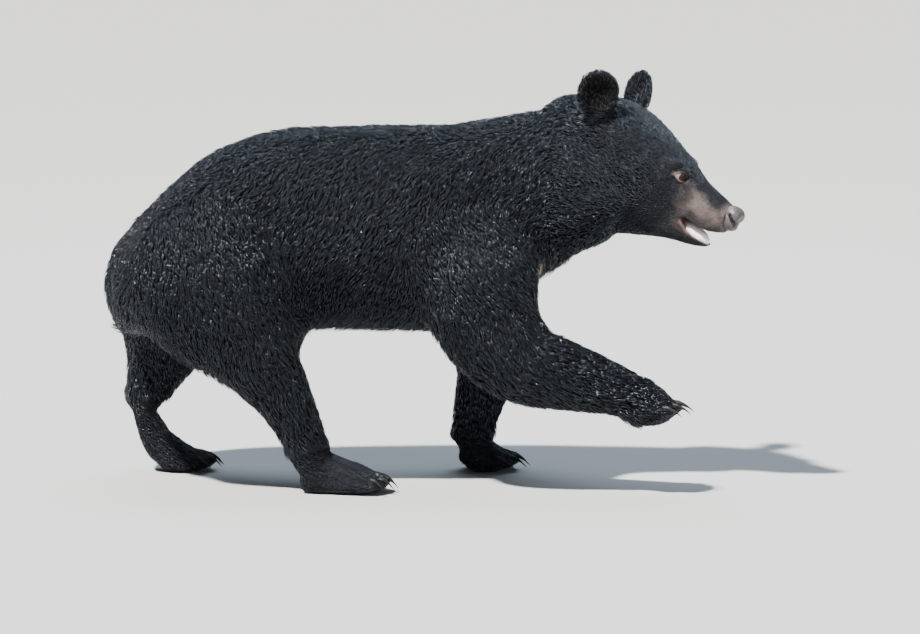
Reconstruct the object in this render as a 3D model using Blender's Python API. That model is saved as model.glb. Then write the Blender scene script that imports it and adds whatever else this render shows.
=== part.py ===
"""A young Asiatic black bear in mid stride, life size, parted as a museum model.

The animal faces +X and its left side is +Y. The near (right) foreleg reaches forward
off the floor, and the other three feet stand on it. The body is one closed hull, made
from lofted trunk, neck, head and limbs, and thin cuts part it into named pieces. Every
size is the outline out to the tips of the coat, in metres.
"""
import math
from functools import partial

import bmesh
import bpy
import numpy as np
from mathutils import Matrix, Vector

# Driving dimensions
GAP = 0.0003  # clearance between pieces that meet
SLIVER = 0.00003  # edges shorter than this are welded after a cut
BACK = 0.562  # height of the back
BELLY = 0.246  # height of the belly
RUMP = -0.499  # rear end of the rump
TRUNK_HALF_WIDTH = 0.150
FORELEG_Y = 0.112  # distance of the forelegs from the middle
HINDLEG_Y = 0.106  # distance of the hind legs from the middle
HEAD_PLACE = Vector((0.300, -0.031, 0.536))  # middle of the skull
HEAD_PITCH = math.radians(30)  # nose down
HEAD_TURN = math.radians(26)  # nose towards -Y
HEAD_TILT = math.radians(-5.5)  # left ear down
EYE_RADIUS = 0.0122
EAR_RADIUS = 0.0385
CLAW_LENGTH = {"fore": 0.030, "hind": 0.024}
CLAW_RADIUS = 0.0034

# Mesh fineness
MASS_VOXEL = 0.009  # trunk, neck and limbs
VOXEL = 0.0055  # head and paws
HULL_TRIANGLES = 2850

HEAD = (
    Matrix.Translation(HEAD_PLACE)
    @ Matrix.Rotation(-HEAD_TURN, 4, "Z")
    @ Matrix.Rotation(HEAD_PITCH, 4, "Y")
    @ Matrix.Rotation(HEAD_TILT, 4, "X")
)


# ---------------------------------------------------------------- meshes and materials
def clear_scene():
    for old in list(bpy.data.objects):
        bpy.data.objects.remove(old, do_unlink=True)


def add_object(name, mesh):
    thing = bpy.data.objects.new(name, mesh)
    bpy.context.scene.collection.objects.link(thing)
    return thing


def object_from(name, bm):
    """An object that holds this bmesh, with its faces turned outwards."""
    bmesh.ops.recalc_face_normals(bm, faces=bm.faces)
    mesh = bpy.data.meshes.new(name)
    bm.to_mesh(mesh)
    bm.free()
    return add_object(name, mesh)


def applied(thing):
    """Bake the object's modifiers into its mesh."""
    graph = bpy.context.evaluated_depsgraph_get()
    mesh = bpy.data.meshes.new_from_object(thing.evaluated_get(graph))
    thing.modifiers.clear()
    thing.data = mesh
    return thing


def joined(name, things):
    """One object that holds the meshes of several, still as separate bodies."""
    bm = bmesh.new()
    for thing in things:
        bm.from_mesh(thing.data)
        bpy.data.objects.remove(thing, do_unlink=True)
    mesh = bpy.data.meshes.new(name)
    bm.to_mesh(mesh)
    bm.free()
    return add_object(name, mesh)


def boolean(thing, cutter, operation="DIFFERENCE"):
    """Combine two solids, and weld the slivers that the cut leaves."""
    step = thing.modifiers.new(operation.title(), "BOOLEAN")
    step.operation = operation
    step.solver = "EXACT"
    step.object = cutter
    applied(thing)
    bpy.data.objects.remove(cutter, do_unlink=True)
    shape = bmesh.new()
    shape.from_mesh(thing.data)
    bmesh.ops.triangulate(shape, faces=shape.faces)
    bmesh.ops.dissolve_degenerate(shape, dist=SLIVER, edges=shape.edges)
    shape.to_mesh(thing.data)
    shape.free()
    return thing


# ------------------------------------------------------------------------------ shapes
def smooth_rows(rows, count):
    """Evenly spaced rows on a smooth curve through the given rows."""
    table = np.array(rows, float)
    steps = np.linalg.norm(np.diff(table[:, :3], axis=0), axis=1)
    at = np.concatenate([[0.0], np.cumsum(steps)])
    slope = np.gradient(table, at, axis=0)
    wanted = np.linspace(0.0, at[-1], count)
    left = np.clip(np.searchsorted(at, wanted, "right") - 1, 0, len(at) - 2)
    span = (at[left + 1] - at[left])[:, None]
    t = (wanted - at[left])[:, None] / span
    start = table[left] * (2 * t**3 - 3 * t**2 + 1)
    end = table[left + 1] * (3 * t**2 - 2 * t**3)
    bend = slope[left] * (t**3 - 2 * t**2 + t) + slope[left + 1] * (t**3 - t**2)
    return start + end + bend * span


def ring(middle, side, up, half_width, above, below, power, count=28):
    """A closed superellipse ring, flatter sided as the power grows past 2."""
    points = []
    for i in range(count):
        angle = 2 * math.pi * i / count
        c, s = math.cos(angle), math.sin(angle)
        across = math.copysign(abs(c) ** (2 / power), c) * half_width
        rise = math.copysign(abs(s) ** (2 / power), s) * (above if s > 0 else below)
        points.append(middle + side * across + up * rise)
    return points


def loft(name, rings):
    """A closed body through rings of equal point counts, with flat ends."""
    bm = bmesh.new()
    rows = [[bm.verts.new(point) for point in points] for points in rings]
    count = len(rows[0])
    for row, after in zip(rows, rows[1:]):
        for i in range(count):
            j = (i + 1) % count
            bm.faces.new((row[i], row[j], after[j], after[i]))
    bm.faces.new(rows[0])
    bm.faces.new(rows[-1])
    return object_from(name, bm)


def standing_loft(name, rows, power, widest, count=24, matrix=None, sides=28):
    """A loft with upright rings from rows of x, y, top, bottom and half width.

    Widest is where each ring is widest, as a share of its height.
    """
    matrix = matrix or Matrix.Identity(4)
    turn = matrix.to_3x3()
    side, up = turn @ Vector((0, 1, 0)), turn @ Vector((0, 0, 1))
    rings = []
    for x, y, top, bottom, half_width in smooth_rows(rows, count):
        level = bottom + (top - bottom) * widest
        middle = matrix @ Vector((x, y, level))
        above, below = top - level, level - bottom
        rings.append(ring(middle, side, up, half_width, above, below, power, sides))
    return loft(name, rings)


def limb_loft(name, rows, power=2.1, count=30):
    """A loft along a bent axis from rows of x, y, z, half depth and half width."""
    table = smooth_rows(rows, count)
    along = np.gradient(table[:, :3], axis=0)
    rings = []
    for row, direction in zip(table, along):
        tangent = Vector(direction).normalized()
        side = (Vector((0, 1, 0)) - tangent * tangent.y).normalized()
        up = tangent.cross(side)
        rings.append(ring(Vector(row[:3]), side, up, row[4], row[3], row[3], power))
    return loft(name, rings)


def ellipsoid(name, middle, half_sizes, turn=None, fineness=3, matrix=None):
    """A ball of three half sizes, turned in its own place."""
    place = Matrix.Translation(Vector(middle)) @ (turn or Matrix.Identity(4))
    bm = bmesh.new()
    bmesh.ops.create_icosphere(bm, subdivisions=fineness, radius=1.0)
    bmesh.ops.transform(bm, verts=bm.verts, matrix=Matrix.Diagonal((*half_sizes, 1)))
    bmesh.ops.transform(bm, verts=bm.verts, matrix=(matrix or Matrix.Identity(4)) @ place)
    return object_from(name, bm)


def prism(name, outline, half_width, matrix):
    """A flat outline in x and z, drawn out to both sides in y."""
    bm = bmesh.new()
    near = [bm.verts.new(matrix @ Vector((x, -half_width, z))) for x, z in outline]
    far = [bm.verts.new(matrix @ Vector((x, half_width, z))) for x, z in outline]
    count = len(outline)
    bm.faces.new(near)
    bm.faces.new(far)
    for i in range(count):
        j = (i + 1) % count
        bm.faces.new((near[i], near[j], far[j], far[i]))
    return object_from(name, bm)


def turned(direction, upright=(0, 0, 1)):
    """A rotation whose x axis lies along the direction, with z as near upright."""
    x = Vector(direction).normalized()
    z = (Vector(upright) - x * Vector(upright).dot(x)).normalized()
    y = z.cross(x)
    return Matrix((x, y, z)).transposed().to_4x4()


# -------------------------------------------------------------------------------- cuts
def half_space(point, normal):
    """A large block that lies on the normal's side of a plane."""
    reach = 3.0
    bm = bmesh.new()
    bmesh.ops.create_cube(bm, size=reach)
    place = Matrix.Translation(Vector(point)) @ turned(normal, (0.1, 1, 0.2))
    bmesh.ops.transform(bm, verts=bm.verts, matrix=place @ Matrix.Translation((reach / 2, 0, 0)))
    return object_from("half_space", bm)


def sliced(thing, point, normal, ahead, behind):
    """Part an object at a plane into two, with a gap between them."""
    normal = Vector(normal).normalized()
    other = add_object(behind, thing.data.copy())
    boolean(thing, half_space(Vector(point) + normal * GAP / 2, normal), "INTERSECT")
    boolean(other, half_space(Vector(point) - normal * GAP / 2, -normal), "INTERSECT")
    thing.name = ahead
    return thing, other


def cup_wall(pole, direction, half_depth, half_width, length):
    """A thin cup, domed at the root of a limb and open at its far end."""
    around, dome = 16, 3
    place = Matrix.Translation(Vector(pole)) @ turned(direction, (0, 1, 0))
    bm = bmesh.new()
    layers = []
    for grown in (0.0, GAP):
        rows = []
        for i in range(dome + 1):
            tilt = math.pi / 2 * i / dome
            rows.append((half_depth * (1 - math.cos(tilt)) - grown, max(math.sin(tilt), 0.02)))
        rows.append((length, 1.0))
        shell = []
        for x, spread in rows:
            row = []
            for k in range(around):
                angle = 2 * math.pi * k / around
                deep = spread * (half_depth + grown) * math.cos(angle)
                wide = spread * (half_width + grown) * math.sin(angle)
                row.append(bm.verts.new(place @ Vector((x, deep, wide))))
            shell.append(row)
        layers.append(shell)
    inner, outer = layers
    bands = list(zip(inner, inner[1:])) + list(zip(outer, outer[1:])) + [(inner[-1], outer[-1])]
    for row, after in bands:
        for k in range(around):
            j = (k + 1) % around
            bm.faces.new((row[k], row[j], after[j], after[k]))
    bm.faces.new(inner[0])
    bm.faces.new(outer[0])
    return object_from("cup_wall", bm)


def disc_wall(middle, normal, radius):
    """A thin round disc across the root of an ear."""
    bm = bmesh.new()
    place = Matrix.Translation(Vector(middle)) @ turned(normal, (1, 0.1, 0))
    place = place @ Matrix.Rotation(math.pi / 2, 4, "Y")
    bmesh.ops.create_cone(
        bm, cap_ends=True, segments=24, radius1=radius, radius2=radius, depth=GAP, matrix=place
    )
    return object_from("disc_wall", bm)


def islands(thing):
    """The separate bodies of an object, largest first, each as a bmesh."""
    source = bmesh.new()
    source.from_mesh(thing.data)
    source.verts.ensure_lookup_table()
    found, seen = [], set()
    for start in source.verts:
        if start.index in seen:
            continue
        group, stack = [], [start]
        seen.add(start.index)
        while stack:
            vert = stack.pop()
            group.append(vert.index)
            for edge in vert.link_edges:
                near = edge.other_vert(vert)
                if near.index not in seen:
                    seen.add(near.index)
                    stack.append(near)
        members = set(group)
        piece = source.copy()
        piece.verts.ensure_lookup_table()
        spare = [vert for vert in piece.verts if vert.index not in members]
        bmesh.ops.delete(piece, geom=spare, context="VERTS")
        found.append(piece)
    source.free()
    return sorted(found, key=lambda piece: -piece.calc_volume())


def largest(thing):
    """The object with only its largest body left."""
    name = thing.name
    bodies = islands(thing)
    bpy.data.objects.remove(thing, do_unlink=True)
    return object_from(name, bodies[0])


def parted(thing, cutter, piece_name):
    """Cut a thin wall out of an object and give its smaller part a name."""
    boolean(thing, cutter)
    rest, piece = islands(thing)[:2]
    name = thing.name
    bpy.data.objects.remove(thing, do_unlink=True)
    return object_from(name, rest), object_from(piece_name, piece)


# --------------------------------------------------------------------- trunk and limbs
def trunk_shapes():
    """Rump, barrel and chest as one loft, with the neck and tail let into it."""
    width = TRUNK_HALF_WIDTH
    barrel = standing_loft(
        "barrel",
        [
            (RUMP + 0.014, 0, 0.330, 0.268, 0.052),
            (-0.474, 0, 0.364, 0.246, 0.092),
            (-0.444, 0, 0.412, 0.236, 0.119),
            (-0.400, 0, 0.458, 0.234, 0.136),
            (-0.335, 0, 0.514, 0.238, 0.146),
            (-0.250, 0, BACK - 0.011, BELLY - 0.004, width - 0.006),
            (-0.130, 0, BACK, BELLY, width),
            (-0.010, 0, BACK + 0.001, BELLY - 0.002, width),
            (0.070, 0, BACK + 0.002, BELLY - 0.004, width - 0.010),
            (0.125, 0, BACK - 0.002, BELLY + 0.006, 0.120),
            (0.158, 0, 0.535, 0.266, 0.095),
            (0.178, 0, 0.440, 0.305, 0.058),
        ],
        power=2.25,
        widest=0.46,
        count=40,
    )
    neck = standing_loft(
        "neck",
        [
            (0.000, 0.000, 0.552, 0.310, 0.116),
            (0.070, 0.000, 0.568, 0.298, 0.126),
            (0.130, -0.003, 0.578, 0.302, 0.124),
            (0.180, -0.010, 0.588, 0.322, 0.117),
            (0.225, -0.020, 0.592, 0.350, 0.109),
            (0.265, -0.030, 0.588, 0.372, 0.101),
            (0.300, -0.040, 0.570, 0.384, 0.088),
        ],
        power=2.1,
        widest=0.48,
    )
    tail = limb_loft(
        "tail",
        [
            (RUMP + 0.050, 0, 0.390, 0.016, 0.022),
            (RUMP + 0.024, 0, 0.352, 0.015, 0.020),
            (RUMP + 0.013, 0, 0.310, 0.013, 0.017),
            (RUMP + 0.010, 0, 0.272, 0.006, 0.009),
        ],
        count=10,
    )
    return [barrel, neck, tail]


def leg_rows(side_y, rows):
    """Limb rows given as x, offset from the leg's own plane, z, depth and width."""
    sign = 1 if side_y > 0 else -1
    return [(x, side_y + sign * out, z, depth, wide) for x, out, z, depth, wide in rows]


LEGS = {
    "fore_right": leg_rows(
        -FORELEG_Y,
        [
            (0.068, -0.028, 0.430, 0.060, 0.036),
            (0.080, -0.010, 0.375, 0.096, 0.056),
            (0.092, 0.000, 0.310, 0.096, 0.060),
            (0.120, 0.006, 0.245, 0.082, 0.056),
            (0.170, 0.008, 0.202, 0.067, 0.050),
            (0.232, 0.010, 0.184, 0.055, 0.046),
            (0.290, 0.012, 0.168, 0.043, 0.041),
            (0.332, 0.014, 0.152, 0.037, 0.038),
            (0.366, 0.015, 0.142, 0.029, 0.040),
            (0.388, 0.015, 0.138, 0.018, 0.034),
        ],
    ),
    "fore_left": leg_rows(
        FORELEG_Y,
        [
            (0.068, -0.028, 0.430, 0.060, 0.036),
            (0.080, -0.010, 0.375, 0.094, 0.056),
            (0.092, -0.002, 0.310, 0.090, 0.058),
            (0.106, 0.000, 0.245, 0.076, 0.053),
            (0.108, 0.000, 0.185, 0.058, 0.047),
            (0.098, 0.000, 0.130, 0.046, 0.041),
            (0.083, 0.000, 0.080, 0.038, 0.037),
            (0.080, 0.000, 0.040, 0.036, 0.040),
        ],
    ),
    "hind_right": leg_rows(
        -HINDLEG_Y,
        [
            (-0.330, -0.034, 0.430, 0.060, 0.036),
            (-0.340, -0.014, 0.388, 0.102, 0.062),
            (-0.334, 0.000, 0.335, 0.122, 0.068),
            (-0.296, 0.006, 0.275, 0.104, 0.064),
            (-0.256, 0.008, 0.222, 0.074, 0.053),
            (-0.222, 0.006, 0.168, 0.051, 0.043),
            (-0.190, 0.002, 0.112, 0.040, 0.037),
            (-0.172, 0.000, 0.068, 0.036, 0.036),
            (-0.165, 0.000, 0.034, 0.030, 0.036),
        ],
    ),
    "hind_left": leg_rows(
        HINDLEG_Y,
        [
            (-0.330, -0.034, 0.425, 0.060, 0.036),
            (-0.346, -0.014, 0.382, 0.100, 0.062),
            (-0.368, 0.000, 0.330, 0.112, 0.068),
            (-0.388, 0.006, 0.275, 0.104, 0.064),
            (-0.402, 0.006, 0.222, 0.082, 0.053),
            (-0.418, 0.004, 0.172, 0.054, 0.043),
            (-0.436, 0.000, 0.128, 0.038, 0.036),
            (-0.446, 0.000, 0.096, 0.030, 0.034),
        ],
    ),
}

# Frames of the paws: the middle of the sole, the way the toes point and the sole's lean
PAWS = {
    "fore_right": {"place": (0.352, -FORELEG_Y - 0.015, 0.112), "turn": -6, "lift": 8},
    "fore_left": {"place": (0.100, FORELEG_Y, 0.000), "turn": -4, "lift": 0},
    "hind_right": {"place": (-0.118, -HINDLEG_Y, 0.000), "turn": -6, "lift": 0},
    "hind_left": {"place": (-0.398, HINDLEG_Y, 0.000), "turn": 4, "lift": 0},
}
PAW_SIZES = {
    "fore": {"length": 0.098, "width": 0.092, "height": 0.050},
    "hind": {"length": 0.146, "width": 0.082, "height": 0.046},
}


def paw_matrix(leg):
    paw = PAWS[leg]
    turn = Matrix.Rotation(math.radians(paw["turn"]), 4, "Z")
    lift = Matrix.Rotation(-math.radians(paw["lift"]), 4, "Y")
    return Matrix.Translation(paw["place"]) @ turn @ lift


def toes(leg):
    """Place, half width and heading of each toe, in the paw's own frame.

    Toe 0 is the inner one. The middle toes reach farthest forward.
    """
    kind = leg.split("_")[0]
    size = PAW_SIZES[kind]
    inward = 1 if leg.endswith("right") else -1
    found = []
    for i in range(5):
        across = (i - 2) / 2
        reach = size["length"] * 0.36 - 0.016 * across**2 - (0.005 if i == 0 else 0)
        side = -inward * across * size["width"] * 0.37
        found.append((Vector((reach, side, 0.018)), 0.0135, across * -inward * 12))
    return found


def paw_shapes(leg):
    """The sole, the knuckles and five toes of one paw."""
    matrix = paw_matrix(leg)
    kind = leg.split("_")[0]
    size = PAW_SIZES[kind]
    half = size["length"] / 2
    if kind == "fore":
        rows = [
            (-half * 0.80, 0, size["height"] * 0.74, 0.016, size["width"] * 0.33),
            (-half * 0.45, 0, size["height"] * 1.10, 0.001, size["width"] * 0.42),
            (0.000, 0, size["height"] * 1.02, -0.005, size["width"] * 0.48),
            (half * 0.45, 0, size["height"] * 0.80, -0.004, size["width"] * 0.46),
            (half * 0.72, 0, size["height"] * 0.55, 0.000, size["width"] * 0.36),
        ]
    elif leg == "hind_left":
        rows = [
            (-half * 0.78, 0, 0.128, 0.074, size["width"] * 0.34),
            (-half * 0.62, 0, 0.128, 0.044, size["width"] * 0.40),
            (-half * 0.30, 0, 0.096, 0.012, size["width"] * 0.43),
            (0.000, 0, 0.064, -0.004, size["width"] * 0.46),
            (half * 0.35, 0, 0.044, -0.004, size["width"] * 0.47),
            (half * 0.56, 0, 0.034, 0.000, size["width"] * 0.42),
        ]
    else:
        rows = [
            (-half * 0.92, 0, 0.034, 0.004, size["width"] * 0.26),
            (-half * 0.75, 0, 0.056, -0.004, size["width"] * 0.36),
            (-half * 0.30, 0, 0.060, -0.005, size["width"] * 0.41),
            (half * 0.15, 0, 0.050, -0.005, size["width"] * 0.46),
            (half * 0.45, 0, 0.042, -0.004, size["width"] * 0.47),
            (half * 0.64, 0, 0.032, 0.000, size["width"] * 0.42),
        ]
    shapes = [standing_loft(leg + "_sole", rows, 2.6, 0.42, 16, matrix)]
    for spot, radius, heading in toes(leg):
        turn = Matrix.Rotation(math.radians(heading), 4, "Z")
        half_sizes = (0.026, radius, radius * 1.18)
        shapes.append(ellipsoid(leg + "_toe", spot, half_sizes, turn, 2, matrix))
    return shapes


# -------------------------------------------------------------------------------- head
def head_shapes():
    """Skull, muzzle, jaw, cheeks and brows, in the head's own frame."""
    skull = standing_loft(
        "skull",
        [
            (-0.110, 0, 0.026, -0.120, 0.080),
            (-0.060, 0, 0.055, -0.132, 0.090),
            (-0.015, 0, 0.071, -0.134, 0.092),
            (0.035, 0, 0.072, -0.128, 0.088),
            (0.076, 0, 0.063, -0.112, 0.076),
            (0.108, 0, 0.054, -0.096, 0.060),
            (0.135, 0, 0.045, -0.080, 0.046),
            (0.158, 0, 0.034, -0.074, 0.036),
        ],
        power=2.15,
        widest=0.52,
        count=30,
        matrix=HEAD,
    )
    muzzle = standing_loft(
        "muzzle",
        [
            (0.090, 0, 0.052, -0.056, 0.050),
            (0.125, 0, 0.045, -0.044, 0.045),
            (0.155, 0, 0.035, -0.034, 0.038),
            (0.185, 0, 0.029, -0.031, 0.034),
            (0.208, 0, 0.026, -0.030, 0.031),
            (0.221, 0, 0.022, -0.027, 0.026),
            (0.230, 0, 0.012, -0.021, 0.016),
        ],
        power=2.4,
        widest=0.46,
        matrix=HEAD,
    )
    jaw = standing_loft(
        "jaw",
        [
            (0.020, 0, -0.030, -0.140, 0.070),
            (0.062, 0, -0.020, -0.124, 0.060),
            (0.105, 0, -0.010, -0.102, 0.046),
            (0.145, 0, -0.010, -0.081, 0.036),
            (0.180, 0, -0.010, -0.068, 0.029),
            (0.204, 0, -0.012, -0.061, 0.023),
            (0.219, 0, -0.020, -0.053, 0.014),
        ],
        power=2.4,
        widest=0.50,
        matrix=HEAD,
    )
    shapes = [skull, muzzle, jaw]
    for side in (-1, 1):
        cheek = (0.030, side * 0.062, -0.066)
        shapes.append(ellipsoid("cheek", cheek, (0.066, 0.036, 0.056), matrix=HEAD))
        brow = (0.106, side * 0.035, 0.032)
        turn = Matrix.Rotation(math.radians(-24), 4, "Y")
        shapes.append(ellipsoid("brow", brow, (0.026, 0.016, 0.013), turn, 2, HEAD))
        shapes.append(ear_shape(side))
    return shapes


def ear_matrix(side):
    """The ear's frame: x is the way its cup faces, z runs from base to tip."""
    root = Vector((-0.018, side * 0.076, 0.038))
    facing = (0.60, side * 0.72, 0.10)
    tip = (-0.45, side * 0.28, 0.85)
    return HEAD @ Matrix.Translation(root) @ turned(facing, tip)


def ear_shape(side):
    """A thick round disc, hollowed at its front into a shallow cup."""
    matrix = ear_matrix(side)
    height = EAR_RADIUS * 0.95
    disc = ellipsoid("disc", (0, 0, height), (0.018, EAR_RADIUS, EAR_RADIUS * 1.12), None, 4, matrix)
    hollow = ellipsoid("hollow", (0.026, 0, height * 1.02), (0.022, 0.030, 0.035), None, 3, matrix)
    boolean(disc, hollow)
    return disc


def jaw_block(lips, grown, name):
    """All that lies below a lip line, and before the cut from mouth corner to throat."""
    behind = [(0.110, -0.0400), (0.066, -0.0660), (0.062, -0.2000)]
    behind = [(x - grown, z + grown) for x, z in behind]
    return prism(name, lips + behind + [(0.260, -0.2000)], 0.13, HEAD)


UPPER_LIP = [
    (0.260, -0.0160),
    (0.226, -0.0215),
    (0.210, -0.0285),
    (0.190, -0.0305),
    (0.173, -0.0290),
    (0.158, -0.0265),
]
LOWER_LIP = [
    (0.260, -0.0470),
    (0.195, -0.0460),
    (0.180, -0.0430),
    (0.168, -0.0355),
    (0.158, -0.0270),
]


def part_jaw(hull):
    """Open the mouth and cut the lower jaw free."""
    jaw = add_object("lower_jaw", hull.data.copy())
    boolean(jaw, jaw_block(LOWER_LIP, 0.0, "below_mouth"), "INTERSECT")
    boolean(hull, jaw_block(UPPER_LIP, GAP, "above_mouth"))
    return largest(hull), largest(jaw)


def nose_shape(grown=0.0):
    """The bare pad at the tip of the muzzle."""
    rows = [
        (0.214 - grown, 0, 0.022, -0.009, 0.0130),
        (0.221, 0, 0.026, -0.012, 0.0185),
        (0.230, 0, 0.027, -0.013, 0.0205),
        (0.237, 0, 0.025, -0.011, 0.0185),
        (0.241 + grown, 0, 0.021, -0.007, 0.0145),
    ]
    rows = [(x, y, top + grown, low - grown, wide + grown) for x, y, top, low, wide in rows]
    return standing_loft("nose", rows, 2.5, 0.56, 6, HEAD, 16)


def tongue_shape(grown=0.0):
    """The tongue, which lies on the lower jaw and fills the front of the mouth."""
    rows = [
        (0.156 - grown, 0, -0.0300, -0.0400, 0.0125),
        (0.168, 0, -0.0310, -0.0480, 0.0155),
        (0.183, 0, -0.0325, -0.0540, 0.0175),
        (0.198, 0, -0.0340, -0.0540, 0.0165),
        (0.208, 0, -0.0370, -0.0530, 0.0130),
        (0.2145 + grown, 0, -0.0420, -0.0510, 0.0070),
    ]
    rows = [(x, y, top + grown, low - grown, wide + grown) for x, y, top, low, wide in rows]
    return standing_loft("tongue", rows, 2.4, 0.5, 6, HEAD, 12)


def eye_shape(side, grown=0.0):
    """An eyeball that stands a little proud of its socket."""
    radius = EYE_RADIUS + grown
    place = (0.1300, side * 0.0285, 0.0228)
    return ellipsoid("eye", place, (radius, radius, radius), None, 2, HEAD)


# ------------------------------------------------------------------------------- claws
def claw_shape(leg, toe, grown=0.0):
    """A curved cone that starts inside the toe and points forward and down."""
    spot, _, heading = toes(leg)[toe]
    place = paw_matrix(leg) @ Matrix.Translation(spot)
    place = place @ Matrix.Rotation(math.radians(heading), 4, "Z")
    length = CLAW_LENGTH[leg.split("_")[0]]
    rings = []
    for i in range(4):
        share = i / 3
        reach = 0.010 + length * share + grown * (2 * share - 1)
        radius = CLAW_RADIUS * (1 - 0.86 * share**1.4) + grown
        middle = Vector((reach, 0, 0.007 - 0.018 * share**2))
        row = []
        for k in range(5):
            angle = 2 * math.pi * (k + 0.25) / 5
            out = Vector((0, math.cos(angle) * radius, math.sin(angle) * radius * 1.3))
            row.append(place @ (middle + out))
        rings.append(row)
    return loft("claw", rings)


# ------------------------------------------------------------------------------ making
def fused(name, shapes, voxel, softening):
    """One closed body round all the shapes, with its creases rounded off."""
    hull = joined(name, shapes)
    fuse = hull.modifiers.new("Fuse", "REMESH")
    fuse.mode = "VOXEL"
    fuse.voxel_size = voxel
    soft = hull.modifiers.new("Soften", "SMOOTH")
    soft.factor = 0.5
    soft.iterations = softening
    return applied(hull)


def plainness(spot):
    """How few triangles a place needs: 1 on trunk and limbs, less on head and paws."""
    if spot.z > 0.36 and (HEAD.inverted() @ spot).x > -0.07:
        return 0.2
    if spot.z < 0.055 or (spot.x > 0.335 and spot.z < 0.20):
        return 0.45
    return 1.0


def make_hull():
    """The whole animal's flesh and coat as one closed body."""
    masses = trunk_shapes() + [limb_loft(leg, rows) for leg, rows in LEGS.items()]
    for side in (-1, 1):
        fold = (-0.222, side * 0.098, 0.262)
        masses.append(ellipsoid("flank_fold", fold, (0.060, 0.026, 0.042)))
    details = [fused("masses", masses, MASS_VOXEL, 14)] + head_shapes()
    for leg in LEGS:
        details.extend(paw_shapes(leg))
    hull = fused("hull", details, VOXEL, 5)
    plain = hull.vertex_groups.new(name="plain")
    for vert in hull.data.vertices:
        plain.add([vert.index], plainness(vert.co), "REPLACE")
    light = hull.modifiers.new("Lighten", "DECIMATE")
    light.vertex_group = plain.name
    light.vertex_group_factor = 0.25
    light.ratio = HULL_TRIANGLES / sum(len(face.vertices) - 2 for face in hull.data.polygons)
    light.use_collapse_triangulate = True
    return applied(hull)


# The pole of each leg's cut inside the trunk, its direction, depth, width and length
LEG_CUTS = {
    "fore_right": ((0.043, -0.118, 0.453), (0.34, 0, -0.94), 0.100, 0.085, 0.240),
    "fore_left": ((0.085, 0.114, 0.460), (0.05, 0, -1.00), 0.100, 0.085, 0.245),
    "hind_right": ((-0.335, -0.108, 0.475), (0.14, 0, -0.99), 0.140, 0.086, 0.285),
    "hind_left": ((-0.345, 0.110, 0.475), (-0.14, 0, -0.99), 0.136, 0.088, 0.290),
}
# A point and a direction for the two cuts across each leg
JOINT_CUTS = {
    "fore_right": [((0.168, 0, 0.204), (0.68, 0, -0.73)), ((0.338, 0, 0.151), (0.96, 0, -0.28))],
    "fore_left": [((0.110, 0, 0.205), (0.00, 0, -1.00)), ((0.080, 0, 0.066), (0.00, 0, -1.00))],
    "hind_right": [((-0.250, 0, 0.215), (0.50, 0, -0.87)), ((-0.174, 0, 0.074), (0.25, 0, -0.97))],
    "hind_left": [((-0.404, 0, 0.212), (-0.25, 0, -0.97)), ((-0.438, 0, 0.128), (-0.10, 0, -0.99))],
}
LEG_PARTS = {
    "fore": ("upper_foreleg", "forearm", "forepaw"),
    "hind": ("thigh", "shank", "hindfoot"),
}


def part_legs(hull):
    """Cut the four legs off the trunk and each into three lengths."""
    pieces = {}
    for leg, cut in LEG_CUTS.items():
        kind, side = leg.split("_")
        hull, limb = parted(hull, cup_wall(*cut), leg)
        names = [part + "_" + side for part in LEG_PARTS[kind]]
        for (point, direction), name, next_name in zip(JOINT_CUTS[leg], names, names[1:]):
            lower, upper = sliced(limb, point, direction, next_name, name)
            pieces[name] = upper
            limb = lower
        pieces[names[-1]] = limb
    return hull, pieces


def part_trunk(hull):
    """Cut head, jaw, ears, neck, chest, loins and tail apart."""
    pieces = {}
    hull, pieces["lower_jaw"] = part_jaw(hull)
    tail_cut = cup_wall((-0.452, 0, 0.412), (-0.16, 0, -0.99), 0.026, 0.032, 0.185)
    hull, pieces["tail"] = parted(hull, tail_cut, "tail")
    front, trunk = sliced(hull, (0.152, 0, 0.455), (0.92, 0, 0.39), "front", "trunk")
    turn = HEAD.to_3x3()
    nape = HEAD @ Vector((-0.028, 0, -0.048))
    head, neck = sliced(front, nape, turn @ Vector((0.87, 0, 0.49)), "head", "neck")
    pieces["chest"], pieces["loins"] = sliced(trunk, (-0.075, 0, 0.4), (1, 0, 0.1), "chest", "loins")
    for side, name in ((-1, "ear_right"), (1, "ear_left")):
        out = Vector((-0.10, side * 0.55, 0.83)).normalized()
        root = Vector((-0.022, side * 0.078, 0.040)) + out * 0.012
        head, pieces[name] = parted(head, disc_wall(HEAD @ root, turn @ out, 0.050), name)
    pieces["head"] = head
    pieces["neck"] = neck
    return pieces


def set_into(flesh, name, make_shape):
    """A piece that lies in a socket of its own shape, with a gap all round."""
    piece = make_shape(0.0)
    piece.name = name
    return largest(boolean(flesh, make_shape(GAP))), piece


def fit_bare_parts(pieces):
    """Let the eyes, nose, tongue and claws into the flesh that holds them."""
    fittings = [
        ("head", "nose", nose_shape),
        ("lower_jaw", "tongue", tongue_shape),
    ]
    for side, name in ((-1, "eye_right"), (1, "eye_left")):
        fittings.append(("head", name, partial(eye_shape, side)))
    for leg in LEGS:
        kind, side = leg.split("_")
        paw = LEG_PARTS[kind][-1] + "_" + side
        for toe in range(5):
            name = f"claw_{leg}_{toe + 1}"
            fittings.append((paw, name, partial(claw_shape, leg, toe)))
    for holder, name, make in fittings:
        pieces[holder], pieces[name] = set_into(pieces[holder], name, make)


# --------------------------------------------------------------------------- materials
FINISHES = {
    "coat": ((0.012, 0.012, 0.015), 0.55),
    "nose": ((0.045, 0.042, 0.042), 0.35),
    "tongue": ((0.66, 0.30, 0.28), 0.40),
    "eye": ((0.10, 0.045, 0.02), 0.10),
    "claw": ((0.030, 0.027, 0.025), 0.40),
}


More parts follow.
